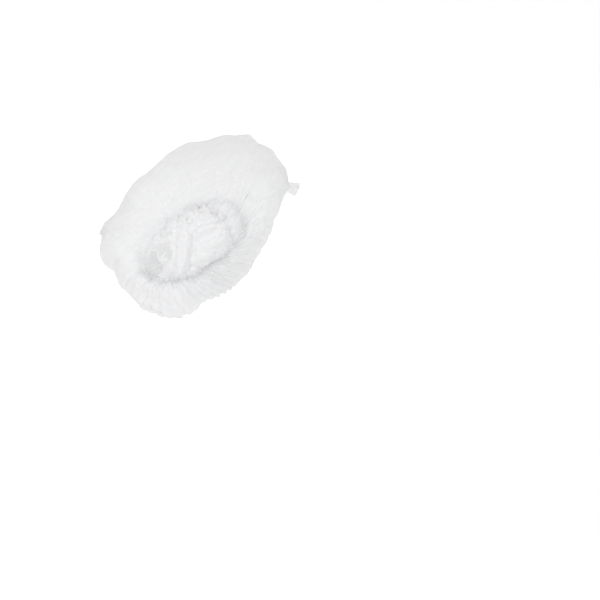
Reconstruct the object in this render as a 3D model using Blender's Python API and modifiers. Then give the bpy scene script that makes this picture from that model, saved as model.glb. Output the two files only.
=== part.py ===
# A disposable bouffant cap, opened and lying on its crown with the gathered mouth up.
# Metres, +Z up, +X along the long side of the cap, floor at z = 0.

import math

import bmesh
import bpy
from mathutils import Vector

COLLECTION = "bouffant_cap"
WELD_DISTANCE = 1e-6

# Driving sizes
BODY_LENGTH = 0.214
BODY_WIDTH = 0.154
BODY_HEIGHT = 0.094
MOUTH_LENGTH = 0.118
MOUTH_WIDTH = 0.060
MOUTH_SHIFT_X = -0.026
MOUTH_SHIFT_Y = -0.019
MOUTH_TURN = math.radians(-9)
CLOTH = 0.0015
SEAT_GAP = 0.0005
ELASTIC_GAP = 0.0006
FLUTES = 66
FLUTE_DEPTH = 0.0011
# How far the flutes are drawn together along the long sides, so that they lie evenly.
FLUTE_EVENING = math.radians(8.6)
HEM_WIDTH = 0.008
HEM_CLOTH = 0.0011
ELASTIC_DIAMETER = 0.0016
SEAL_WIDTH = 0.016
SEAL_ROOT_WIDTH = 0.010
SEAL_PLEATS = 8
SEAL_PLEAT_DEPTH = 0.0009
SEAL_LENGTH = 0.009
SEAL_CLOTH = 0.0018
SEAL_DROOP = 0.002

# Each flute is one ridge and one valley.
POINTS_ROUND = 2 * FLUTES
HEM_ROWS = 1
SEAL_ROWS = 4

# How far apart the points are that the surface's directions are read from.
STEP_ROUND = math.radians(0.5)
STEP_ALONG = 0.02

# Sections of the crown from the mouth's edge outwards, round the belly and under to the middle.
# mouth and body are shares of the mouth's and the body's half sizes, shift a share of the mouth's
# shift and turn, rise, back and right shares of the body's height: at the ring's middle, what its
# far side has more, and what its right end has more. flute is a share of the flutes' depth.
SECTIONS = (
    # name, mouth, body, shift, rise, back, right, flute
    ("edge", 1.00, 0.00, 1.00, 0.640, 0.105, 0.035, 1.00),
    ("lip", 0.84, 0.16, 0.92, 0.705, 0.120, 0.050, 1.00),
    ("collar", 0.61, 0.39, 0.76, 0.765, 0.165, 0.100, 0.85),
    ("shoulder", 0.37, 0.63, 0.55, 0.755, 0.215, 0.150, 0.70),
    ("puff", 0.155, 0.845, 0.29, 0.655, 0.225, 0.170, 0.60),
    ("flank", 0.03, 0.97, 0.11, 0.505, 0.185, 0.140, 0.55),
    ("belly", 0.00, 1.00, 0.00, 0.345, 0.115, 0.090, 0.50),
    ("tuck", 0.00, 0.955, 0.00, 0.180, 0.055, 0.045, 0.40),
    ("heel", 0.00, 0.86, 0.02, 0.055, 0.010, 0.010, 0.20),
    ("foot_out", 0.00, 0.74, 0.06, 0.000, 0.000, 0.000, 0.00),
    ("foot_in", 0.00, 0.60, 0.12, 0.000, 0.000, 0.000, 0.00),
    ("wad_foot", 0.00, 0.52, 0.22, 0.035, 0.010, 0.025, 0.20),
    ("wad_side", 0.00, 0.46, 0.38, 0.200, 0.030, 0.060, 0.35),
    ("wad_shoulder", 0.00, 0.40, 0.54, 0.390, 0.035, 0.060, 0.35),
    ("wad_brow", 0.00, 0.31, 0.66, 0.495, 0.025, 0.035, 0.30),
    ("wad_top", 0.00, 0.21, 0.72, 0.530, 0.010, 0.010, 0.20),
    ("wad_crest", 0.00, 0.10, 0.75, 0.540, 0.000, 0.005, 0.10),
    ("pole", 0.00, 0.00, 0.76, 0.540, 0.000, 0.000, 0.00),
)
POLE = len(SECTIONS) - 1

# Sections from which the dents, the flat foot and the wad's folds begin.
DENTS_START = 2
FOOT_START = 9
WAD_START = 11

# How far the outline stands out or in by bearing, as a share of the body's half sizes.
REACHES = (
    # bearing in degrees, reach
    (0, 0.02),
    (9, 0.05),
    (18, 0.035),
    (28, 0.115),
    (37, 0.04),
    (56, 0.01),
    (77, -0.03),
    (97, -0.015),
    (109, 0.03),
    (123, -0.02),
    (138, 0.02),
    (148, 0.065),
    (164, -0.05),
    (180, -0.02),
    (191, -0.02),
    (203, 0.025),
    (220, 0.05),
    (232, 0.04),
    (245, -0.03),
    (262, -0.09),
    (284, -0.20),
    (316, -0.15),
    (332, -0.11),
    (341, -0.03),
    (350, 0.02),
)

# How strong the flutes are outside the mouth, by bearing.
FLUTE_STRENGTHS = (
    # bearing in degrees, share
    (0, 0.7),
    (60, 0.25),
    (110, 0.2),
    (150, 0.5),
    (190, 1.0),
    (270, 1.0),
    (320, 0.9),
)

# The wad's ridges and grooves, seen from above: their two ends as shares of the mouth's half sizes
# from its centre, their width as a share of its half width, and their height as one of the body's.
WAD_FOLDS = (
    # x0, y0, x1, y1, width, height
    (-0.02, 0.80, 0.10, -0.75, 0.17, -0.100),
    (-0.30, 0.60, -0.22, -0.55, 0.20, 0.060),
    (0.22, 0.45, 0.62, 0.55, 0.22, 0.065),
    (0.25, 0.02, 0.72, 0.12, 0.16, -0.075),
    (0.25, -0.40, 0.75, -0.25, 0.22, 0.060),
    (0.30, -0.85, 0.75, -0.70, 0.18, -0.060),
)

# Broad dents and soft ridges of the puffed crown: their two ends as degrees round and section
# numbers, their width and their height as shares of the body's height.
DENTS = (
    # turn0, section0, turn1, section1, width, height
    (62, 3.2, 28, 3.6, 0.14, -0.045),
    (105, 3.4, 60, 4.6, 0.12, 0.030),
    (140, 3.0, 118, 5.0, 0.13, -0.040),
    (88, 5.0, 78, 7.0, 0.16, -0.045),
    (20, 5.0, 14, 7.0, 0.13, -0.040),
    (180, 5.0, 184, 7.2, 0.14, -0.035),
    (232, 4.4, 238, 7.2, 0.12, -0.035),
    (285, 4.6, 280, 7.4, 0.13, 0.030),
    (322, 4.6, 328, 7.0, 0.12, -0.035),
)

SEALS = (
    # name, flute counted from +X, section it stands at, how far it hangs down in degrees
    ("end_seal_left", 26, 5, 55),
    ("end_seal_right", -3, 5, 0),
)


def by_bearing(table, bearing):
    """A table's value at this bearing in radians, smooth round the whole turn."""
    degrees = math.degrees(bearing) % 360
    rows = [*table, (table[0][0] + 360, table[0][1])]
    for (start, value), (end, next_value) in zip(rows, rows[1:]):
        if start <= degrees < end:
            part = (degrees - start) / (end - start)
            part = part * part * (3 - 2 * part)
            return value + part * (next_value - value)
    return rows[0][1]


def section_at(place):
    """The section's columns at a place along the sheet, 0 at the mouth's edge, read from a smooth curve."""
    rows = [row[1:] for row in SECTIONS]
    low = min(max(int(place), 0), POLE - 1)
    part = place - low
    before = rows[max(low - 1, 0)]
    after = rows[min(low + 2, POLE)]
    columns = []
    for a, b, c, d in zip(before, rows[low], rows[low + 1], after):
        bend = 2 * a - 5 * b + 4 * c - d
        turn = 3 * (b - c) + d - a
        columns.append(b + 0.5 * part * ((c - a) + part * (bend + part * turn)))
    return columns


def near_line(point, start, end, width):
    """1 on the line from start to end, fading to 0 past its width."""
    line = end - start
    share = min(max((point - start).dot(line) / line.length_squared, 0), 1)
    return math.exp(-(((point - start - share * line).length / width) ** 2))


def wad_offset(x, y):
    """How far the wad's folds lift it at this place seen from above."""
    place = Vector(
        ((x - MOUTH_SHIFT_X) / (MOUTH_LENGTH / 2), (y - MOUTH_SHIFT_Y) / (MOUTH_WIDTH / 2))
    )
    total = 0.0
    for x0, y0, x1, y1, width, height in WAD_FOLDS:
        total += height * near_line(place, Vector((x0, y0)), Vector((x1, y1)), width)
    return BODY_HEIGHT * total


def bearing_of(turn):
    """The bearing of the flute at this share of the turn, in radians."""
    return turn + FLUTE_EVENING * math.sin(2 * turn)


def base_point(turn, place):
    """A point of the crown's smooth outer face, without its flutes."""
    bearing = bearing_of(turn)
    mouth, body, shift, rise, back, right, _ = section_at(place)
    outline = 1 + body * by_bearing(REACHES, bearing)
    half_x = outline * (mouth * MOUTH_LENGTH / 2 + body * BODY_LENGTH / 2)
    half_y = outline * (mouth * MOUTH_WIDTH / 2 + body * BODY_WIDTH / 2)
    x = half_x * math.cos(bearing)
    y = half_y * math.sin(bearing)
    swing = shift * MOUTH_TURN
    z = BODY_HEIGHT * (rise + back * math.sin(bearing) + right * math.cos(bearing))
    point = Vector(
        (
            shift * MOUTH_SHIFT_X + x * math.cos(swing) - y * math.sin(swing),
            shift * MOUTH_SHIFT_Y + x * math.sin(swing) + y * math.cos(swing),
            z,
        )
    )
    point.z += min(max(place - WAD_START, 0), 1) * wad_offset(point.x, point.y)
    return point


def base_frame(turn, place):
    """The point, the outward normal and the run away from the mouth, on the smooth outer face."""
    place = min(max(place, STEP_ALONG), POLE - STEP_ALONG)
    point = base_point(turn, place)
    around = base_point(turn + STEP_ROUND, place) - base_point(turn - STEP_ROUND, place)
    along = base_point(turn, place + STEP_ALONG) - base_point(turn, place - STEP_ALONG)
    normal = along.cross(around).normalized()
    return point, normal, along.normalized()


def flute_offset(turn, place):
    """How far the gathers lift the cloth along its normal."""
    depth = section_at(place)[6] * FLUTE_DEPTH
    outside = min(max(place - 1.0, 0.0), 1.0)
    strength = 1 + outside * (by_bearing(FLUTE_STRENGTHS, bearing_of(turn)) - 1)
    return depth * strength * math.cos(FLUTES * turn)


def dent_offset(point):
    """How far the crown's dents and soft ridges move the cloth along its normal at this point."""
    total = 0.0
    for turn0, section0, turn1, section1, width, height in DENTS:
        start = base_point(math.radians(turn0), section0)
        end = base_point(math.radians(turn1), section1)
        total += height * near_line(point, start, end, width * BODY_HEIGHT)
    return BODY_HEIGHT * total


def cloth_point(turn, place, inward=0.0):
    """A point of the gathered outer face, moved inward along the normal."""
    point, normal, _ = base_frame(turn, place)
    offset = flute_offset(turn, place) - inward
    if DENTS_START <= place < FOOT_START:
        offset += dent_offset(point)
    return point + offset * normal


def hem_place(turn):
    """How far along the sections the hem reaches here."""
    return HEM_WIDTH / (base_point(turn, 1) - base_point(turn, 0)).length


def grid_object(name, columns, rows, place_of, material):
    """A sheet made from a grid, each point of which place_of moves to its place.

    place_of takes how far round and how far from the mouth the point is, both from 0 to 1, and
    the sheet's faces then look out of the cap.
    """
    mesh_data = bpy.data.meshes.new(name)
    sheet = bmesh.new()
    bmesh.ops.create_grid(sheet, x_segments=columns, y_segments=rows, size=1.0)
    for vertex in sheet.verts:
        u = (vertex.co.x + 1) / 2
        v = (vertex.co.y + 1) / 2
        vertex.co = place_of(u, v)
    bmesh.ops.remove_doubles(sheet, verts=sheet.verts, dist=WELD_DISTANCE)
    bmesh.ops.reverse_faces(sheet, faces=sheet.faces)
    sheet.to_mesh(mesh_data)
    sheet.free()
    mesh_data.shade_smooth()
    mesh_data.materials.append(material)
    piece = bpy.data.objects.new(name, mesh_data)
    bpy.data.collections[COLLECTION].objects.link(piece)
    return piece


def thicken(piece, thickness, offset):
    modifier = piece.modifiers.new("Cloth", "SOLIDIFY")
    modifier.thickness = thickness
    modifier.offset = offset
    modifier.use_rim = True


def nonwoven(name, colour, roughness):
    material = bpy.data.materials.new(name)
    material.use_nodes = True
    shader = material.node_tree.nodes["Principled BSDF"]
    shader.inputs["Base Color"].default_value = (*colour, 1)
    shader.inputs["Roughness"].default_value = roughness
    shader.inputs["Metallic"].default_value = 0
    return material


def make_crown(material):
    def place_of(u, v):
        turn = 2 * math.pi * u
        ring = round(v * POLE)
        if ring == POLE:
            return base_point(0, POLE)
        return cloth_point(turn, hem_place(turn) if ring == 1 else ring)

    crown = grid_object("crown", POINTS_ROUND, POLE, place_of, material)
    thicken(crown, CLOTH, -1)


def make_hem(material):
    def place_of(u, v):
        turn = 2 * math.pi * u
        return cloth_point(turn, v * hem_place(turn), CLOTH + SEAT_GAP)

    hem = grid_object("hem", POINTS_ROUND, HEM_ROWS, place_of, material)
    thicken(hem, HEM_CLOTH, -1)


def make_elastic(material):
    curve = bpy.data.curves.new("elastic", "CURVE")
    curve.dimensions = "3D"
    curve.bevel_depth = ELASTIC_DIAMETER / 2
    curve.bevel_resolution = 1
    spline = curve.splines.new("POLY")
    spline.points.add(FLUTES - 1)
    for index, spline_point in enumerate(spline.points):
        point, normal, run = base_frame(2 * math.pi * index / FLUTES, 0)
        point -= (ELASTIC_GAP + ELASTIC_DIAMETER / 2) * run + CLOTH / 2 * normal
        spline_point.co = (*point, 1)
    spline.use_cyclic_u = True
    curve.materials.append(material)
    elastic = bpy.data.objects.new("elastic", curve)
    bpy.data.collections[COLLECTION].objects.link(elastic)


def make_seal(name, flute, section, hang, material):
    """A welded end: pleats pressed flat, narrow at the crown and fanned out at the tail."""
    turn = 2 * math.pi * flute / FLUTES
    root = cloth_point(turn, section)
    _, normal, _ = base_frame(turn, section)
    level = Vector((normal.x, normal.y, 0)).normalized()
    sideways = Vector((-level.y, level.x, 0))
    outward = math.cos(math.radians(hang)) * level - math.sin(math.radians(hang)) * Vector((0, 0, 1))
    upward = outward.cross(sideways)
    seat = root + (SEAT_GAP + SEAL_CLOTH / 2 * math.sin(math.radians(hang))) * level

    def place_of(u, v):
        across = (2 * u - 1) * (SEAL_ROOT_WIDTH + v * (SEAL_WIDTH - SEAL_ROOT_WIDTH)) / 2
        out = v * SEAL_LENGTH
        pleat = SEAL_PLEAT_DEPTH * v * math.cos(math.pi * SEAL_PLEATS * u)
        lift = pleat - SEAL_DROOP * v * v
        return seat + out * outward + across * sideways + lift * upward

    seal = grid_object(name, SEAL_PLEATS, SEAL_ROWS, place_of, material)
    thicken(seal, SEAL_CLOTH, 0)


def stand_on_origin(collection):
    """Parents the pieces to an empty that brings the middle of the cap's foot to the origin."""
    bpy.context.view_layer.update()
    graph = bpy.context.evaluated_depsgraph_get()
    points = []
    for piece in collection.objects:
        shape = piece.evaluated_get(graph)
        points += [vertex.co.copy() for vertex in shape.to_mesh().vertices]
        shape.to_mesh_clear()
    low = Vector([min(point[axis] for point in points) for axis in range(3)])
    high = Vector([max(point[axis] for point in points) for axis in range(3)])
    stand = bpy.data.objects.new("cap_stand", None)
    for piece in collection.objects:
        piece.parent = stand
    collection.objects.link(stand)
    stand.location = (-(low.x + high.x) / 2, -(low.y + high.y) / 2, -low.z)


def main():
    for thing in list(bpy.data.objects):
        bpy.data.objects.remove(thing)
    collection = bpy.data.collections.new(COLLECTION)
    bpy.context.scene.collection.children.link(collection)
    cloth = nonwoven("nonwoven", (0.86, 0.87, 0.88), 0.85)
    turned = nonwoven("turned_nonwoven", (0.84, 0.85, 0.87), 0.85)
    rubber = nonwoven("elastic_thread", (0.82, 0.82, 0.80), 0.6)
    fused = nonwoven("fused_nonwoven", (0.80, 0.81, 0.83), 0.5)
    make_crown(cloth)
    make_hem(turned)
    make_elastic(rubber)
    for name, flute, section, hang in SEALS:
        make_seal(name, flute, section, hang, fused)
    stand_on_origin(collection)


main()
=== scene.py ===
# The looks of the bouffant cap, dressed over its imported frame: crimped nonwoven cloth, a gathered
# mouth, an elastic thread and two welded ends. Metres, +Z up, floor at z = 0.

import math

import bpy
import numpy as np
from mathutils import Matrix, Vector


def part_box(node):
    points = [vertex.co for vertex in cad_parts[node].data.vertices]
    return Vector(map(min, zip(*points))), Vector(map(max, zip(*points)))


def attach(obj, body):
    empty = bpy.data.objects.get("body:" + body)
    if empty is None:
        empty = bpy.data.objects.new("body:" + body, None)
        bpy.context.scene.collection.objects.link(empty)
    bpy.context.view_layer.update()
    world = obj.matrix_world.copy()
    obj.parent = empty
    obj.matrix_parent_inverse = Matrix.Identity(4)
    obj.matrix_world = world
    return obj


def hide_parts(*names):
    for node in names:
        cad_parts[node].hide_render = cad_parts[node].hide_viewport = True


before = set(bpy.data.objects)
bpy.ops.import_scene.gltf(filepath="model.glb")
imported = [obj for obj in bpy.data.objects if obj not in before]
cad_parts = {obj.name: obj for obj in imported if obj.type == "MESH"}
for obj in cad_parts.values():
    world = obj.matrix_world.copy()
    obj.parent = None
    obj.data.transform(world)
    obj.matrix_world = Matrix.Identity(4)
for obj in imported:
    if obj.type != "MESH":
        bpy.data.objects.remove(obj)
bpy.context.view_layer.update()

# Sizes of the cap, as in the frame
BODY_LENGTH = 0.214
BODY_WIDTH = 0.154
BODY_HEIGHT = 0.094
MOUTH_LENGTH = 0.118
MOUTH_WIDTH = 0.060
MOUTH_SHIFT_X = -0.026
MOUTH_SHIFT_Y = -0.019
MOUTH_TURN = math.radians(-9)
CLOTH = 0.0015
ELASTIC_GAP = 0.0006
ELASTIC_DIAMETER = 0.0016
HEM_WIDTH = 0.008
FLUTES = 66
FLUTE_EVENING = math.radians(8.6)
SEAL_WIDTH = 0.016
SEAL_ROOT_WIDTH = 0.010
SEAL_LENGTH = 0.009
SEAL_DROOP = 0.002

# Rings of the cloth from the mouth out, down, under and up again to the crumpled middle. The first
# three columns are shares, the next three are shares of the body's height, the last is the gathers.
SECTIONS = np.array(
    (
        # mouth, body, shift, rise, back, right, flute
        (1.00, 0.00, 1.00, 0.640, 0.105, 0.035, 1.00),
        (0.84, 0.16, 0.92, 0.705, 0.120, 0.050, 1.00),
        (0.61, 0.39, 0.76, 0.765, 0.165, 0.100, 0.85),
        (0.37, 0.63, 0.55, 0.755, 0.215, 0.150, 0.70),
        (0.155, 0.845, 0.29, 0.655, 0.225, 0.170, 0.60),
        (0.03, 0.97, 0.11, 0.505, 0.185, 0.140, 0.55),
        (0.00, 1.00, 0.00, 0.345, 0.115, 0.090, 0.50),
        (0.00, 0.955, 0.00, 0.180, 0.055, 0.045, 0.40),
        (0.00, 0.86, 0.02, 0.055, 0.010, 0.010, 0.20),
        (0.00, 0.74, 0.06, 0.000, 0.000, 0.000, 0.00),
        (0.00, 0.60, 0.12, 0.000, 0.000, 0.000, 0.00),
        (0.00, 0.52, 0.22, 0.035, 0.010, 0.025, 0.20),
        (0.00, 0.46, 0.38, 0.200, 0.030, 0.060, 0.35),
        (0.00, 0.40, 0.54, 0.390, 0.035, 0.060, 0.35),
        (0.92, 0.02, 0.98, 0.585, 0.085, 0.045, 0.20),
        (0.80, 0.01, 1.00, 0.640, 0.084, 0.042, 0.10),
        (0.42, 0.00, 1.00, 0.685, 0.060, 0.020, 0.05),
        (0.00, 0.00, 1.00, 0.680, 0.000, 0.000, 0.00),
    )
)
POLE = len(SECTIONS) - 1
# How far the crumpled middle lies to the right of the mouth's own.
WAD_SLIDE = 0.004

# How far the body reaches past its plain oval, as a share of it, by bearing in degrees.
REACHES = (
    (0, 0.02), (9, 0.05), (18, 0.035), (28, 0.115), (37, 0.04), (56, 0.01), (77, -0.03), (97, -0.015),
    (109, 0.03), (123, -0.02), (138, 0.02), (148, 0.065), (164, -0.05), (180, -0.02), (191, -0.02),
    (203, 0.025), (220, 0.05), (232, 0.04), (245, -0.03), (262, -0.09), (284, -0.20), (316, -0.15),
    (332, -0.11), (341, -0.03), (350, 0.02),
)
# How strong the gathers of the frame are, by bearing.
FLUTE_STRENGTHS = ((0, 0.7), (60, 0.25), (110, 0.2), (150, 0.5), (190, 1.0), (270, 1.0), (320, 0.9))
# How strong the gathers look by bearing: soft on the far side, deep along the near lip.
LOOK_STRENGTHS = (
    (0, 0.45), (45, 0.2), (110, 0.15), (160, 0.35), (200, 1.15), (250, 1.9), (290, 1.3), (330, 0.6),
)

# Folds of the crumpled middle as they are seen in the photo: their ends in the photo's pixels,
# their half width in pixels, how steep the side to their left is and their height in millimetres.
FOLDS = (
    (196, 242, 222, 234, 15.0, 1.0, 3.5),
    (176, 222, 173, 272, 5.5, 0.25, 4.0),
    (187, 224, 184, 270, 5.0, 0.25, 4.5),
    (192, 236, 189, 268, 1.3, 1.0, -4.0),
    (203, 212, 194, 220, 5.0, 0.25, 4.5),
    (213, 217, 203, 212, 5.0, 0.25, 4.5),
    (220, 228, 213, 217, 4.0, 0.3, 3.0),
    (216, 229, 196, 240, 5.5, 0.22, 4.5),
    (197, 252, 216, 243, 4.5, 0.25, 4.0),
    (212, 256, 194, 264, 4.5, 0.25, 4.0),
    (206, 268, 234, 258, 4.0, 0.3, 3.5),
    (232, 238, 214, 250, 4.8, 0.25, 4.5),
    (222, 236, 242, 220, 5.0, 0.25, 4.0),
    (242, 208, 226, 221, 4.5, 0.3, 3.5),
    (216, 226, 226, 214, 3.4, 0.6, -3.5),
    (226, 242, 231, 248, 2.2, 1.0, -4.0),
    (228, 227, 232, 236, 2.2, 1.0, -4.0),
    (164, 229, 163, 234, 2.6, 1.0, -4.0),
    (168, 238, 182, 229, 4.0, 0.3, 3.0),
    (171, 240, 168, 256, 3.4, 0.3, 3.5),
    (166, 232, 150, 241, 4.0, 0.3, 2.5),
)
# The open hole at the left of the middle and two small ones: their lines and half widths in the
# photo's pixels, and their depths in millimetres.
HOLES = (
    (150, 269, 162, 254, 9.5, 25.0),
    (213, 212, 222, 219, 4.5, 9.0),
    (228, 230, 230, 240, 2.6, 6.0),
)
# Folds of the puffed crown, seen and measured alike.
CROWN_FOLDS = (
    (190, 178, 252, 173, 3.2, 0.5, 1.5),
    (218, 199, 250, 198, 5.0, 0.5, -2.2),
    (150, 196, 206, 168, 3.0, 0.5, 0.9),
    (214, 166, 246, 186, 3.4, 0.5, 1.0),
    (130, 208, 186, 196, 4.0, 0.5, -1.2),
    (246, 138, 262, 168, 3.6, 0.5, -1.4),
    (170, 158, 232, 142, 4.0, 0.5, 0.9),
    (112, 232, 138, 246, 3.2, 0.5, -1.2),
    (176, 206, 214, 199, 3.4, 0.5, 1.3),
    (178, 318, 158, 309, 5.0, 0.05, 2.4),
    (158, 309, 139, 299, 5.0, 0.05, 2.4),
    (139, 299, 121, 284, 5.0, 0.05, 1.8),
)
# Broad dents and bulges: from a turn and section to a turn and section, then their width and height
# as shares of the body's height.
DENTS = (
    (62, 3.2, 28, 3.6, 0.14, -0.045),
    (105, 3.4, 60, 4.6, 0.12, 0.030),
    (140, 3.0, 118, 5.0, 0.13, -0.040),
    (88, 5.0, 78, 7.0, 0.16, -0.045),
    (20, 5.0, 14, 7.0, 0.13, -0.040),
    (180, 5.0, 184, 7.2, 0.14, -0.035),
    (232, 4.4, 238, 7.2, 0.12, -0.035),
    (285, 4.6, 280, 7.4, 0.13, 0.030),
    (322, 4.6, 328, 7.0, 0.12, -0.035),
)
# The photo's view onto the cap: its azimuth and elevation, where the cap's own origin lies in the
# 600 px frame, and how many millimetres a pixel covers there.
AZIMUTH = math.radians(-41)
ELEVATION = math.radians(62)
OWN_ORIGIN_PX = (199.2, 242.3)
MM_PER_PX = 1.035
VIEW_RIGHT = np.array((math.cos(AZIMUTH), math.sin(AZIMUTH), 0))
VIEW_AWAY = np.array(
    (
        math.sin(AZIMUTH) * math.cos(ELEVATION),
        -math.cos(AZIMUTH) * math.cos(ELEVATION),
        math.sin(ELEVATION),
    )
)
VIEW_UP = np.cross(VIEW_AWAY, VIEW_RIGHT)
FRAME_PX = 600
LENS = 220
SENSOR = 36
# The height over the floor at which a pixel covers just the millimetres given above.
SCALE_HEIGHT = 0.045

# The studio: soft lights by name, place, size and power, all aimed at one point, and a round pool of
# light on the crumpled middle, aimed from the cap's own origin.
LIT_POINT = (0, 0, 0.04)
AREA_LIGHTS = (("key", (-0.9, 0.5, 1.6), 1.4, 2), ("front", (-0.5, -0.8, 1.8), 0.8, 3))
SPOT_PLACE = (-0.35, -0.45, 1.15)
SPOT_AIM = (-0.028, -0.030, 0.05)
SPOT_REACH = 0.095
SPOT_POWER = 60
SPOT_COLOUR = (0.95, 0.96, 1.0)
SPOT_SOFTNESS = 0.12
WORLD_STRENGTH = 0.73
FLOOR_REACH = 6.0
FLOOR_GLOW = 0.22

# Welded ends: their flute and section on the surface, and how many degrees they hang down.
SEALS = (("end_seal_left", 26, 5.0, 55), ("end_seal_right", -3, 5.0, 0))

# The hem's frill past the elastic, and how far its waves stand out.
FRILL_WIDTH = 0.0030
FRILL_LEAST = 0.0028
FRILL_TILT = 0.65
HEM_DEPTH = 0.0021
FRILL_RUFFLE = 0.0009

# Loose strands of the elastic: the ring's bearing they hang from, then where they are seen in the
# photo, in its pixels, each with its height in millimetres.
STRANDS = (
    (152, (
        (157.5, 249, 57), (158.5, 256, 53), (160, 261, 51), (165, 259.5, 51), (171, 261, 52),
        (177, 264, 51),
    )),
    (128, ((168, 249, 54), (166, 252, 52), (163, 256, 51), (160, 260.5, 50.5))),
)

# How far the fanned tail of a welded end runs past the frame's.
TAIL_EXTRA = 0.003
# How far out of the smooth belly the welded ends start, and how far round them the cloth is drawn.
SEAL_ROOT_OUT = 0.0062
SEAL_PULL = 0.012
SEAL_GATHER = 0.0009

# How far the crumpled middle spills over the mouth's edge, by bearing: none about the open hole.
SPILLS = (
    (0, 0.8), (50, 1.0), (110, 0.9), (135, 0.4), (160, 0.0), (215, 0.0), (270, -0.15), (315, -0.1),
    (345, 0.4),
)

# Where along the sections each form fades in or out.
SLIDE_IN = (12.6, 14.0)
SPILL_IN = (14.2, 15.0)
SPILL_OUT = (15.1, 16.1)
MOUTH_OUT = (0.0, 3.2)
FLOOR_IN = (7.8, 9.0)
FLOOR_OUT = (10.4, 11.6)
WAD_IN = (11.2, 12.6)
CALM_OUT = (0.1, 1.6)
DENTS_IN = (1.6, 2.4)
DENTS_OUT = (8.0, 9.0)
RADIAL_OUT = (0.5, 4.5)
MIDDLE_IN = (14.6, 15.3)
FOLDS_IN = (14.0, 15.1)
CROWN_FOLDS_IN = (0.3, 1.3)
CROWN_FOLDS_OUT = (5.0, 6.5)
UPRIGHT_IN = (14.0, 14.8)

# Heights of the cloth's own relief, in metres, and how wide its cells are.
FLUTE_HEIGHT = 0.0013
FLUTE_AT_MOUTH = 0.0005
RADIAL_HEIGHT = 0.0006
RADIAL_AT_MOUTH = 0.0016
HOLLOW_HEIGHT = 0.0024
HOLLOW_CELL = 0.034
CRIMP_HEIGHT = 0.00022
CRIMPS = 70
SPILL_OVER = 0.0052
SPILL_UP = 0.0042
FLOOR_CLEARANCE = 0.0004
# Creases of the crown, then crumples of the middle: height, cell, seed and what is taken off.
CREASES = ((0.0010, 0.030, 41, 0.35), (0.00035, 0.013, 42, 0.35))
CRUMPLES = ((0.0050, 0.020, 53, 0.55), (0.0018, 0.0090, 54, 0.55), (0.0006, 0.0045, 55, 0.55))

# Grid of the crown: points round, and points along up to each place, closest where they are seen
ROUND = 8 * FLUTES
ROWS = ((0.0, 0), (7.5, 78), (12.0, 92), (14.2, 106), (17.0, 180))
ALONG = ROWS[-1][1]


def by_bearing(table, bearing):
    degrees = np.degrees(bearing) % 360
    starts = np.array([row[0] for row in table] + [table[0][0] + 360.0])
    values = np.array([row[1] for row in table] + [table[0][1]])
    index = np.clip(np.searchsorted(starts, degrees, side="right") - 1, 0, len(table) - 1)
    part = (degrees - starts[index]) / (starts[index + 1] - starts[index])
    part = part * part * (3 - 2 * part)
    return values[index] + part * (values[index + 1] - values[index])


def section_at(place):
    """The section's columns at each place, read from a smooth curve, first axis the column."""
    index = np.clip(place.astype(int), 0, POLE - 1)
    part = place - index
    a = SECTIONS[np.maximum(index - 1, 0)]
    b = SECTIONS[index]
    c = SECTIONS[index + 1]
    d = SECTIONS[np.minimum(index + 2, POLE)]
    part = part[..., None]
    bend = 2 * a - 5 * b + 4 * c - d
    turn = 3 * (b - c) + d - a
    columns = b + 0.5 * part * ((c - a) + part * (bend + part * turn))
    return np.moveaxis(columns, -1, 0)


def near_line(points, start, end, width):
    start = np.asarray(start, float)
    line = np.asarray(end, float) - start
    share = np.clip((points - start) @ line / (line @ line), 0, 1)
    gap = points - start - share[..., None] * line
    return np.exp(-(gap**2).sum(axis=-1) / width**2)


def bearing_of(turn):
    return turn + FLUTE_EVENING * np.sin(2 * turn)


def base_point(turn, place):
    bearing = bearing_of(turn)
    mouth, body, shift, rise, back, right, _ = section_at(place)
    outline = 1 + body * by_bearing(REACHES, bearing)
    half_x = outline * (mouth * MOUTH_LENGTH / 2 + body * BODY_LENGTH / 2)
    half_y = outline * (mouth * MOUTH_WIDTH / 2 + body * BODY_WIDTH / 2)
    x = half_x * np.cos(bearing)
    y = half_y * np.sin(bearing)
    swing = shift * MOUTH_TURN
    z = BODY_HEIGHT * (rise + back * np.sin(bearing) + right * np.cos(bearing))
    slide = WAD_SLIDE * fade(place, *SLIDE_IN)
    px = slide + shift * MOUTH_SHIFT_X + x * np.cos(swing) - y * np.sin(swing)
    py = shift * MOUTH_SHIFT_Y + x * np.sin(swing) + y * np.cos(swing)
    return np.stack((px, py, z), axis=-1)


def unit(vectors):
    return vectors / np.maximum(np.linalg.norm(vectors, axis=-1, keepdims=True), 1e-12)


def base_frame(turn, place):
    step_round = math.radians(0.5)
    step_along = 0.02
    place = np.clip(place, step_along, POLE - step_along)
    point = base_point(turn, place)
    around = base_point(turn + step_round, place) - base_point(turn - step_round, place)
    along = base_point(turn, place + step_along) - base_point(turn, place - step_along)
    return point, unit(np.cross(along, around)), unit(along)


def dent_offset(points):
    total = 0.0
    for turn0, section0, turn1, section1, width, height in DENTS:
        start = base_point(np.array(math.radians(turn0)), np.array(float(section0)))
        end = base_point(np.array(math.radians(turn1)), np.array(float(section1)))
        total = total + height * near_line(points, start, end, width * BODY_HEIGHT)
    return BODY_HEIGHT * total


def fade(value, start, end):
    part = np.clip((value - start) / (end - start), 0, 1)
    return part * part * (3 - 2 * part)


# Large odd numbers that scatter the cells of the noise.
AXIS_PRIMES = (374761393, 668265263, 1440662683)
SEED_PRIME = 974634777
MIX_PRIME = 1274126177


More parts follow.
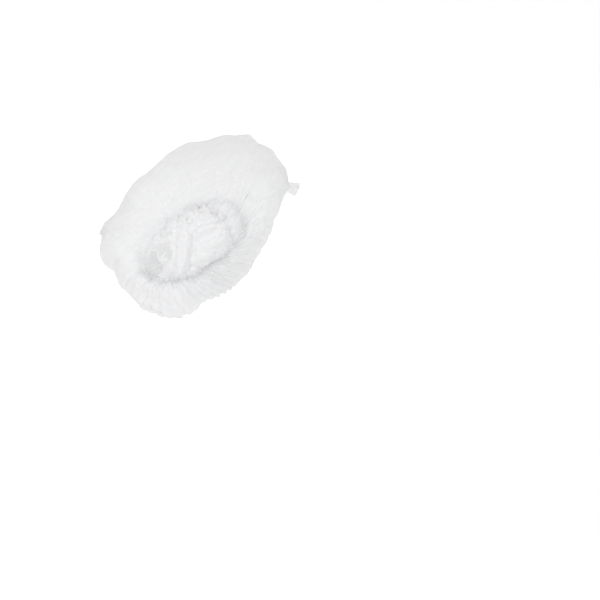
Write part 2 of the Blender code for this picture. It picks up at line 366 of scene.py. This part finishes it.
def noise(points, seed):
    """Smooth gradient noise from about -1 to 1, one cell a unit wide."""
    cell = np.floor(points).astype(np.int64)
    part = points - cell
    blend = part**3 * (part * (part * 6 - 15) + 10)
    total = np.zeros(points.shape[:-1])
    for corner in range(8):
        step = np.array([corner >> axis & 1 for axis in range(3)])
        at = cell + step
        mixed = sum(at[..., axis] * prime for axis, prime in enumerate(AXIS_PRIMES)) + seed * SEED_PRIME
        mixed = (mixed ^ (mixed >> 13)) * MIX_PRIME
        mixed = (mixed ^ (mixed >> 16)) & 0xFFFFFF
        angle = mixed / 0xFFFFFF * 2 * math.pi
        tilt = ((mixed * 7919) & 0xFFFF) / 0xFFFF * 2 - 1
        flat = np.sqrt(1 - tilt**2)
        slope = np.stack((flat * np.cos(angle), flat * np.sin(angle), tilt), axis=-1)
        weight = np.prod(np.where(step == 1, blend, 1 - blend), axis=-1)
        total += weight * ((part - step) * slope).sum(axis=-1)
    return total * 1.6


def ridges(points, seed):
    """Sharp crests between smooth hollows, from 0 to 1."""
    return np.clip(1 - np.abs(noise(points, seed)), 0, 1) ** 4


def crumples(points, seed):
    """Broad crests with sharp tops between smooth hollows, from 0 to 1."""
    return np.clip(1 - np.abs(noise(points, seed)), 0, 1) ** 1.8


def jitter(points, seed, axes):
    """Noise that isn't the same on any two axes."""
    return np.stack([noise(points, seed + axis) for axis in range(axes)], axis=-1)


def ring_of(turn):
    """Points of a circle one unit wide, so that noise on them closes all round."""
    return np.stack((np.cos(turn), np.sin(turn), 0 * turn), axis=-1)


def lifted(height):
    return np.stack((0 * height, 0 * height, height), axis=-1)


def on_photo(points):
    """Where points of the cap, from its own origin, are seen in the photo, in its pixels."""
    x = OWN_ORIGIN_PX[0] + points @ VIEW_RIGHT / MM_PER_PX * 1000
    y = OWN_ORIGIN_PX[1] - points @ VIEW_UP / MM_PER_PX * 1000
    return np.stack((x, y), axis=-1)


def off_photo(x, y, height):
    """The point of the cap, from its own origin, seen at a pixel of the photo at a height."""
    wide = (x - OWN_ORIGIN_PX[0]) * MM_PER_PX / 1000
    tall = (OWN_ORIGIN_PX[1] - y) * MM_PER_PX / 1000 - height * VIEW_UP[2]
    flat = np.linalg.solve(np.array((VIEW_RIGHT[:2], VIEW_UP[:2])), np.array((wide, tall)))
    return np.array((flat[0], flat[1], height))


def seen_folds(folds, points):
    seen = on_photo(points)
    seen = seen + 2.0 * jitter(points / 0.009, 70, 2)
    total = 0.0
    for x0, y0, x1, y1, width, steep, height in folds:
        side = (x1 - x0) * (seen[..., 1] - y0) - (y1 - y0) * (seen[..., 0] - x0)
        reach = np.where(side > 0, width, width * (0.2 + steep * 0.8))
        total = total + height / 1000 * near_line(seen, (x0, y0), (x1, y1), reach)
    return total


def seen_holes(points):
    seen = on_photo(points)
    seen = seen + 1.5 * jitter(points / 0.008, 76, 2)
    total = 0.0
    for x0, y0, x1, y1, width, depth in HOLES:
        inside = near_line(seen, (x0, y0), (x1, y1), width)
        total = total - depth / 1000 * fade(inside, 0.28, 0.58)
    return total


def grid_normals(points):
    """Normals of a grid whose second axis goes round, pointing out of the cap."""
    around = np.roll(points, -1, axis=1) - np.roll(points, 1, axis=1)
    along = np.gradient(points, axis=0)
    return unit(np.cross(along, around))


def flute_wave(turn, place):
    """The gathers as they lift the cloth, from about -1 to 1, each a little unlike the next."""
    ring = ring_of(turn)
    drift = 0.9 * noise(ring * 4 + lifted(0.35 * place), 11)
    strength = 1 + 0.9 * noise(ring * 9 + lifted(0.25 * place), 12)
    main = np.cos(FLUTES * turn + drift)
    fine = np.cos(2 * FLUTES * turn + 2.6 * drift + 1.0)
    return strength * (main + 0.25 * fine)


def cap_surface(turn, place, origin):
    """The crumpled cloth of the crown: points of the grid, in the frame's place."""
    point, normal, _ = base_frame(turn, place)
    ring = ring_of(turn)
    flute = section_at(place)[6]
    outside = np.clip(place - 1.0, 0.0, 1.0)
    bearing = bearing_of(turn)
    # the crumpled middle spills over the mouth's edge
    spill = by_bearing(SPILLS, bearing) * fade(place, *SPILL_IN) * (1 - fade(place, *SPILL_OUT))
    spill = spill * np.clip(0.9 + 0.9 * noise(ring * 4.5, 81) + 0.5 * noise(ring * 10, 82), 0.2, 1.8)
    heading = bearing + MOUTH_TURN
    run = SPILL_OVER * np.cos(heading), SPILL_OVER * np.sin(heading)
    over = np.stack((*run, SPILL_UP + 0 * heading), axis=-1)
    point = point + spill[..., None] * over
    strength = 1 + outside * (by_bearing(FLUTE_STRENGTHS, bearing) - 1)
    strength = strength * by_bearing(LOOK_STRENGTHS, bearing)
    mouth = 1 - fade(place, *MOUTH_OUT)
    on_floor = fade(place, *FLOOR_IN) * (1 - fade(place, *FLOOR_OUT))
    wad = fade(place, *WAD_IN)
    crown = (1 - wad) * (1 - on_floor)
    calm = 0.45 + 0.55 * fade(place, *CALM_OUT)
    offset = flute * strength * calm * (FLUTE_HEIGHT + FLUTE_AT_MOUTH * mouth) * flute_wave(turn, place)
    offset = offset + dent_offset(point) * fade(place, *DENTS_IN) * (1 - fade(place, *DENTS_OUT))
    # folds that run out from the mouth
    stretched = ring * 7 + lifted(0.30 * place)
    radial = noise(stretched, 21) + 0.6 * noise(stretched * 2.1, 22)
    near = np.clip(1.3 * by_bearing(LOOK_STRENGTHS, bearing), 0.2, 1)
    depth = RADIAL_HEIGHT + RADIAL_AT_MOUTH * (1 - fade(place, *RADIAL_OUT))
    offset = offset + near * crown * depth * radial
    # broad soft hollows
    offset = offset + crown * HOLLOW_HEIGHT * noise(point / HOLLOW_CELL, 23)
    shaped = point + offset[..., None] * normal
    normal = grid_normals(shaped)
    # crimp lines that run from one welded end to the other
    warped = shaped + 0.004 * jitter(shaped / 0.03, 30, 3)
    lean = np.arctan2(warped[..., 2] - 0.35 * BODY_HEIGHT, warped[..., 1] + 0.35 * BODY_WIDTH)
    crimp = np.cos(CRIMPS * lean + 2.0 * noise(shaped / 0.05, 34))
    offset = crown * CRIMP_HEIGHT * crimp * (0.5 + 0.5 * noise(shaped / 0.02, 35))
    # sharp creases
    for height, cell, seed, less in CREASES:
        offset = offset + crown * height * (ridges(warped / cell, seed) - less)
    # the crumpled middle
    rough = shaped + 0.006 * jitter(shaped / 0.018, 50, 3)
    middle = fade(place, *MIDDLE_IN)
    wad = wad * (0.35 + 0.65 * middle)
    for height, cell, seed, less in CRUMPLES:
        offset = offset + wad * height * (crumples(rough / cell, seed) - less)
    offset = offset + fade(place, *FOLDS_IN) * (1.5 * seen_folds(FOLDS, shaped) + seen_holes(shaped))
    seen_side = fade(place, *CROWN_FOLDS_IN) * (1 - fade(place, *CROWN_FOLDS_OUT))
    offset = offset + crown * seen_side * seen_folds(CROWN_FOLDS, shaped)
    # the middle is lifted straight up, so that its folds stay crisp
    upright = fade(place, *UPRIGHT_IN)[..., None]
    normal = unit((1 - upright) * normal + upright * np.array((0, 0, 1)))
    shaped = shaped + offset[..., None] * normal
    # drawn out to the welded ends
    for _, flute, section, _ in SEALS:
        at = np.array(2 * math.pi * flute / FLUTES)
        start, outward, _ = base_frame(at, np.array(section))
        root = start + SEAL_ROOT_OUT * outward
        row = np.abs(place[:, 0] - section).argmin()
        column = int(round(flute * ROUND / FLUTES)) % ROUND
        here = shaped[row, column]
        away = shaped - here
        gap = np.linalg.norm(away, axis=-1)
        level = unit(np.array((outward[0], outward[1], 0)))
        across = away @ np.array((-level[1], level[0], 0))
        about = np.arctan2(away[..., 2], across) + 0.5 * noise(shaped / 0.012, 58)
        pleats = np.cos(13 * about) * np.exp(-((gap / 0.026) ** 2)) * fade(gap, 0.002, 0.009)
        pull = np.exp(-((gap / SEAL_PULL) ** 1.4))
        shaped = shaped + pull[..., None] * (root - here) + SEAL_GATHER * pleats[..., None] * outward
    shaped = shaped + origin
    shaped[..., 2] = np.maximum(shaped[..., 2], FLOOR_CLEARANCE)
    return shaped


def add_object(name, data):
    made = bpy.data.objects.new(name, data)
    bpy.context.scene.collection.objects.link(made)
    return made


def grid_object(name, points, closed_pole, material):
    """A sheet object from a grid of points whose second axis goes round."""
    rows, columns = points.shape[:2]
    verts = points.reshape(-1, 3)
    faces = []
    last = rows - 2 if closed_pole else rows - 1
    index = np.arange(rows * columns).reshape(rows, columns)
    here = index[:last]
    below = index[1 : last + 1]
    quads = np.stack((here, below, np.roll(below, -1, axis=1), np.roll(here, -1, axis=1)), axis=-1)
    faces = quads.reshape(-1, 4).tolist()
    if closed_pole:
        verts = verts[: (rows - 1) * columns + 1]
        pole = (rows - 1) * columns
        ring = index[rows - 2]
        faces += [[int(ring[i]), pole, int(ring[(i + 1) % columns])] for i in range(columns)]
    data = bpy.data.meshes.new(name)
    data.from_pydata(verts.tolist(), [], faces)
    data.update()
    data.shade_smooth()
    data.materials.append(material)
    return add_object(name, data)


def nonwoven(name, colour, through, sheer, roughness=0.85):
    """Thin felted cloth: scatters most light, lets some through, and is a little sheer."""
    material = bpy.data.materials.new(name)
    material.use_nodes = True
    tree = material.node_tree
    nodes, links = tree.nodes, tree.links
    shader = nodes["Principled BSDF"]
    output = nodes["Material Output"]
    coords = nodes.new("ShaderNodeTexCoord")
    cloud = nodes.new("ShaderNodeTexNoise")
    cloud.inputs["Scale"].default_value = 340
    cloud.inputs["Detail"].default_value = 5
    cloud.inputs["Roughness"].default_value = 0.65
    cloud.inputs["Distortion"].default_value = 0.8
    fibre = nodes.new("ShaderNodeTexNoise")
    fibre.inputs["Scale"].default_value = 950
    fibre.inputs["Detail"].default_value = 4
    fibre.inputs["Distortion"].default_value = 2.5
    bond = nodes.new("ShaderNodeTexVoronoi")
    bond.inputs["Scale"].default_value = 720
    bond.inputs["Randomness"].default_value = 0.15
    tint = nodes.new("ShaderNodeMapRange")
    tint.inputs["From Min"].default_value = 0.3
    tint.inputs["From Max"].default_value = 0.7
    tint.inputs["To Min"].default_value = 0.0
    tint.inputs["To Max"].default_value = 1.0
    ramp = nodes.new("ShaderNodeMix")
    ramp.data_type = "RGBA"
    ramp.inputs["A"].default_value = (*[c * 0.982 for c in colour], 1)
    ramp.inputs["B"].default_value = (*colour, 1)
    stretch = nodes.new("ShaderNodeMapping")
    stretch.inputs["Scale"].default_value = (0.22, 1, 0.8)
    links.new(coords.outputs["Object"], stretch.inputs["Vector"])
    links.new(stretch.outputs["Vector"], cloud.inputs["Vector"])
    links.new(coords.outputs["Object"], fibre.inputs["Vector"])
    links.new(coords.outputs["Object"], bond.inputs["Vector"])
    links.new(cloud.outputs["Fac"], tint.inputs["Value"])
    links.new(tint.outputs["Result"], ramp.inputs["Factor"])
    links.new(ramp.outputs["Result"], shader.inputs["Base Color"])
    shader.inputs["Roughness"].default_value = roughness
    shader.inputs["Specular IOR Level"].default_value = 0.25
    shader.inputs["Sheen Weight"].default_value = 0.15
    grain = nodes.new("ShaderNodeMath")
    grain.operation = "MULTIPLY_ADD"
    grain.inputs[1].default_value = -0.5
    links.new(bond.outputs["Distance"], grain.inputs[0])
    links.new(fibre.outputs["Fac"], grain.inputs[2])
    bump = nodes.new("ShaderNodeBump")
    bump.inputs["Strength"].default_value = 0.35
    bump.inputs["Distance"].default_value = 0.0003
    links.new(grain.outputs["Value"], bump.inputs["Height"])
    links.new(bump.outputs["Normal"], shader.inputs["Normal"])
    glow = nodes.new("ShaderNodeBsdfTranslucent")
    glow.inputs["Color"].default_value = (*[min(1.0, c * 1.03) for c in colour], 1)
    links.new(bump.outputs["Normal"], glow.inputs["Normal"])
    lit = nodes.new("ShaderNodeMixShader")
    lit.inputs["Fac"].default_value = through
    links.new(shader.outputs["BSDF"], lit.inputs[1])
    links.new(glow.outputs["BSDF"], lit.inputs[2])
    clear = nodes.new("ShaderNodeBsdfTransparent")
    holes = nodes.new("ShaderNodeMapRange")
    holes.inputs["From Min"].default_value = 0.25
    holes.inputs["From Max"].default_value = 0.75
    holes.inputs["To Min"].default_value = sheer * 1.35
    holes.inputs["To Max"].default_value = sheer * 0.65
    links.new(cloud.outputs["Fac"], holes.inputs["Value"])
    whole = nodes.new("ShaderNodeMixShader")
    links.new(holes.outputs["Result"], whole.inputs["Fac"])
    links.new(lit.outputs["Shader"], whole.inputs[1])
    links.new(clear.outputs["BSDF"], whole.inputs[2])
    links.new(whole.outputs["Shader"], output.inputs["Surface"])
    return material


def plain_material(name, colour, roughness, scale, depth):
    material = bpy.data.materials.new(name)
    material.use_nodes = True
    nodes, links = material.node_tree.nodes, material.node_tree.links
    shader = nodes["Principled BSDF"]
    coords = nodes.new("ShaderNodeTexCoord")
    grain = nodes.new("ShaderNodeTexNoise")
    grain.inputs["Scale"].default_value = scale
    grain.inputs["Detail"].default_value = 3
    ramp = nodes.new("ShaderNodeMix")
    ramp.data_type = "RGBA"
    ramp.inputs["A"].default_value = (*[c * 0.98 for c in colour], 1)
    ramp.inputs["B"].default_value = (*colour, 1)
    bump = nodes.new("ShaderNodeBump")
    bump.inputs["Strength"].default_value = 0.2
    bump.inputs["Distance"].default_value = depth
    links.new(coords.outputs["Object"], grain.inputs["Vector"])
    links.new(grain.outputs["Fac"], ramp.inputs["Factor"])
    links.new(ramp.outputs["Result"], shader.inputs["Base Color"])
    links.new(grain.outputs["Fac"], bump.inputs["Height"])
    links.new(bump.outputs["Normal"], shader.inputs["Normal"])
    shader.inputs["Roughness"].default_value = roughness
    return material


def elastic_line(turn):
    point, normal, run = base_frame(turn, np.zeros_like(turn))
    return point - (ELASTIC_GAP + ELASTIC_DIAMETER / 2) * run - CLOTH / 2 * normal


def stand_shift():
    """How far the frame's pieces stand from the surface's own origin, read from the elastic."""
    low_corner, high_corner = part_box("elastic")
    turns = np.arange(FLUTES) * 2 * math.pi / FLUTES
    own = elastic_line(turns)
    middle = (own.min(axis=0) + own.max(axis=0)) / 2
    wanted = (np.array(low_corner) + np.array(high_corner)) / 2
    return wanted - middle


def make_crown(material, origin):
    turns = np.arange(ROUND) * 2 * math.pi / ROUND
    places = np.interp(np.arange(ALONG + 1), [rows for _, rows in ROWS], [place for place, _ in ROWS])
    turn, place = np.meshgrid(turns, places)
    points = cap_surface(turn, place, origin)
    points[-1] = points[-1].mean(axis=0)
    crown = grid_object("crown_cloth", points, True, material)
    return crown, points


def frill_sizes(turns):
    """How far the frill runs past the mouth's edge, and how far its waves lift it, all round."""
    ring = ring_of(turns)
    width = FRILL_WIDTH * (1 + 0.6 * noise(ring * 5, 65) + 0.3 * noise(ring * 18, 66))
    width = np.maximum(width * (0.9 - 0.2 * np.sin(bearing_of(turns))), FRILL_LEAST)
    ruffle = np.cos(2 * FLUTES * turns + 3 * noise(ring * 6, 63)) + 0.8 * noise(ring * 16, 64)
    return width, FRILL_RUFFLE * ruffle


def make_hem(material, crown_points):
    """The turned-in edge: a frill past the elastic, folded over it and down the inside."""
    normals = grid_normals(crown_points)
    edge = crown_points[0]
    turns = np.arange(ROUND) * 2 * math.pi / ROUND
    _, normal, run = base_frame(turns, np.zeros_like(turns))
    ring = ring_of(turns)
    width, lift = frill_sizes(turns)

    def frill(share, depth):
        out = share * width
        up = share * lift + FRILL_TILT * share * share * width - depth
        return edge - out[:, None] * run + up[:, None] * normal

    rows = [edge]
    rows += [frill(share, 0.0) for share in (0.25, 0.5, 0.75, 0.92)]
    rows += [frill(share, depth) for share, depth in ((1.0, 0.0003), (0.92, 0.0007), (0.75, 0.0012))]
    rows += [frill(share, HEM_DEPTH) for share in (0.5, 0.25, 0.0)]
    steps = 9
    reach = np.linalg.norm(np.diff(crown_points, axis=0), axis=-1).cumsum(axis=0)
    column = np.arange(ROUND)
    for step in range(1, steps + 1):
        wanted = HEM_WIDTH * step / steps
        row = np.minimum((reach < wanted).sum(axis=0), ALONG - 1)
        layer = np.stack((ring[:, 0] * 15, ring[:, 1] * 15, 0 * turns + step * 0.4), axis=-1)
        flutter = noise(layer, 62)
        inward = HEM_DEPTH - 0.0010 * step / steps + 0.0006 * flutter * step / steps
        rows.append(crown_points[row, column] - inward[:, None] * normals[row, column])
    return grid_object("hem_fold", np.array(rows), False, material)


def make_elastic(material, crown_points, origin):
    """The thread in the middle of the frill's channel, with its loose strands."""
    turns = np.arange(ROUND) * 2 * math.pi / ROUND
    _, normal, run = base_frame(turns, np.zeros_like(turns))
    width, lift = frill_sizes(turns)
    out = ELASTIC_GAP + ELASTIC_DIAMETER / 2
    share = out / width
    up = share * lift + FRILL_TILT * share * share * width - HEM_DEPTH / 2
    line = crown_points[0] - out * run + up[:, None] * normal
    curve = bpy.data.curves.new("elastic_thread", "CURVE")
    curve.dimensions = "3D"
    curve.bevel_depth = ELASTIC_DIAMETER / 2 * 0.8
    curve.bevel_resolution = 2
    spline = curve.splines.new("POLY")
    spline.points.add(ROUND - 1)
    for spline_point, place in zip(spline.points, line):
        spline_point.co = (*place, 1)
    spline.use_cyclic_u = True
    for bearing, seen in STRANDS:
        strand = [elastic_line(np.array(math.radians(bearing)))]
        strand += [off_photo(x, y, height / 1000) for x, y, height in seen]
        strand = [point + origin for point in strand]
        spline = curve.splines.new("NURBS")
        spline.points.add(len(strand) - 1)
        for spline_point, (x, y, z) in zip(spline.points, strand):
            spline_point.co = (x, y, z, 1)
            spline_point.radius = 0.7
        spline.use_endpoint_u = True
        spline.order_u = 3
        spline.resolution_u = 6
    curve.materials.append(material)
    return add_object("elastic_thread", curve)


def make_seal(name, flute, section, hang, material):
    """A welded end: pleats pressed flat between two weld bars, fanned out at the tail."""
    turn = np.array(2 * math.pi * flute / FLUTES)
    _, normal, _ = base_frame(turn, np.array(section))
    low_corner, high_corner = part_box(name)
    level = unit(np.array((normal[0], normal[1], 0)))
    sideways = np.array((-level[1], level[0], 0))
    hang = math.radians(hang)
    outward = math.cos(hang) * level - math.sin(hang) * np.array((0, 0, 1))
    upward = np.cross(outward, sideways)
    middle = (np.array(low_corner) + np.array(high_corner)) / 2
    columns, rows = 48, 24
    points = []
    for v in np.linspace(0, 1, rows + 1):
        line = []
        for u in np.linspace(0, 1, columns + 1):
            across = (2 * u - 1) * (SEAL_ROOT_WIDTH + v * (SEAL_WIDTH - SEAL_ROOT_WIDTH)) / 2
            out = (v - 0.5) * SEAL_LENGTH - 0.0008 * (1 - v) + TAIL_EXTRA * v
            weld = math.exp(-(((v - 0.30) / 0.05) ** 2)) + math.exp(-(((v - 0.62) / 0.05) ** 2))
            wave = math.cos(12 * math.pi * u + 0.8 * math.sin(7 * u))
            pleat = (0.0008 * v + 0.0003) * wave * (1 - 0.8 * weld)
            out += 0.0007 * v * math.sin(17 * u + 2) + 0.0004 * v * math.sin(41 * u)
            up = pleat - SEAL_DROOP * (v * v - 0.5)
            line.append(middle + out * outward + across * sideways + up * upward)
        points.append(line)
    points = np.array(points)
    data = bpy.data.meshes.new(name + "_tab")
    index = np.arange(points.shape[0] * points.shape[1]).reshape(points.shape[:2])
    quads = np.stack((index[:-1, :-1], index[1:, :-1], index[1:, 1:], index[:-1, 1:]), axis=-1)
    data.from_pydata(points.reshape(-1, 3).tolist(), [], quads.reshape(-1, 4).tolist())
    data.update()
    data.shade_smooth()
    data.materials.append(material)
    piece = add_object(name + "_tab", data)
    thick = piece.modifiers.new("Thickness", "SOLIDIFY")
    thick.thickness = 0.0003
    thick.offset = 0
    return piece


def dress(piece, node):
    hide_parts(node)
    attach(piece, "root")


def area_light(name, place, target, size, power):
    lamp = bpy.data.lights.new(name, "AREA")
    lamp.shape = "DISK"
    lamp.size = size
    lamp.energy = power
    light = add_object(name, lamp)
    light.location = place
    light.rotation_euler = (Vector(target) - Vector(place)).to_track_quat("-Z", "Y").to_euler()


def spot_light(name, place, target, reach, power, colour):
    """A soft round pool of light about the target, as wide as the reach."""
    lamp = bpy.data.lights.new(name, "SPOT")
    lamp.energy = power
    lamp.color = colour
    lamp.shadow_soft_size = SPOT_SOFTNESS
    way = Vector(target) - Vector(place)
    lamp.spot_size = 2 * math.atan(reach / way.length)
    lamp.spot_blend = 1.0
    light = add_object(name, lamp)
    light.location = place
    light.rotation_euler = way.to_track_quat("-Z", "Y").to_euler()


def make_camera(origin):
    seen = on_photo(-np.array(origin))
    right, up, away = Vector(VIEW_RIGHT), Vector(VIEW_UP), Vector(VIEW_AWAY)
    distance = LENS / SENSOR * FRAME_PX * MM_PER_PX / 1000 + SCALE_HEIGHT * VIEW_AWAY[2]
    half = FRAME_PX / 2
    yaw = math.atan((seen[0] - half) / half * SENSOR / 2 / LENS)
    pitch = math.atan((half - seen[1]) / half * SENSOR / 2 / LENS)
    basis = Matrix((right, up, away)).transposed().to_4x4()
    turned = basis @ Matrix.Rotation(yaw, 4, "Y") @ Matrix.Rotation(-pitch, 4, "X")
    data = bpy.data.cameras.new("camera")
    data.lens = LENS
    data.sensor_width = SENSOR
    camera = add_object("camera", data)
    camera.matrix_world = Matrix.Translation(distance * away) @ turned
    bpy.context.scene.camera = camera


def make_floor():
    data = bpy.data.meshes.new("floor")
    reach = FLOOR_REACH
    corners = [(-reach, -reach, 0), (reach, -reach, 0), (reach, reach, 0), (-reach, reach, 0)]
    data.from_pydata(corners, [], [(0, 1, 2, 3)])
    floor = add_object("floor", data)
    pale = plain_material("pale_floor", (0.97, 0.97, 0.97), 0.9, 40, 0.0002)
    shader = pale.node_tree.nodes["Principled BSDF"]
    shader.inputs["Emission Color"].default_value = (1, 1, 1, 1)
    shader.inputs["Emission Strength"].default_value = FLOOR_GLOW
    data.materials.append(pale)


def make_world():
    world = bpy.data.worlds.new("studio")
    world.use_nodes = True
    back = world.node_tree.nodes["Background"]
    back.inputs["Color"].default_value = (1, 1, 1, 1)
    back.inputs["Strength"].default_value = WORLD_STRENGTH
    bpy.context.scene.world = world


origin = stand_shift()
make_camera(origin)
make_floor()
make_world()
for name, place, size, power in AREA_LIGHTS:
    area_light(name, place, LIT_POINT, size, power)
spot_light("middle", SPOT_PLACE, Vector(origin) + Vector(SPOT_AIM), SPOT_REACH, SPOT_POWER, SPOT_COLOUR)
view = bpy.context.scene.view_settings
view.view_transform = "Standard"
view.look = "None"
view.exposure = 0
view.gamma = 1

cloth = nonwoven("nonwoven_cloth", (0.928, 0.928, 0.929), 0.55, 0.11)
hem_cloth = nonwoven("hem_cloth", (0.935, 0.935, 0.938), 0.5, 0.09)
# The welded ends' cloth is the crown's cloth set lighter: painted light, making up for the shade its
# doubled tab gets.
fused_painted_light = nonwoven("fused_cloth_painted_light", (0.96, 0.96, 0.96), 0.55, 0.06, 0.6)
thread = plain_material("elastic_rubber", (0.93, 0.93, 0.92), 0.55, 1500, 0.0002)

crown, crown_points = make_crown(cloth, origin)
dress(crown, "crown")
hem = make_hem(hem_cloth, crown_points)
dress(hem, "hem")
elastic = make_elastic(thread, crown_points, origin)
dress(elastic, "elastic")
for name, flute, section, hang in SEALS:
    tab = make_seal(name, flute, section, hang, fused_painted_light)
    dress(tab, name)
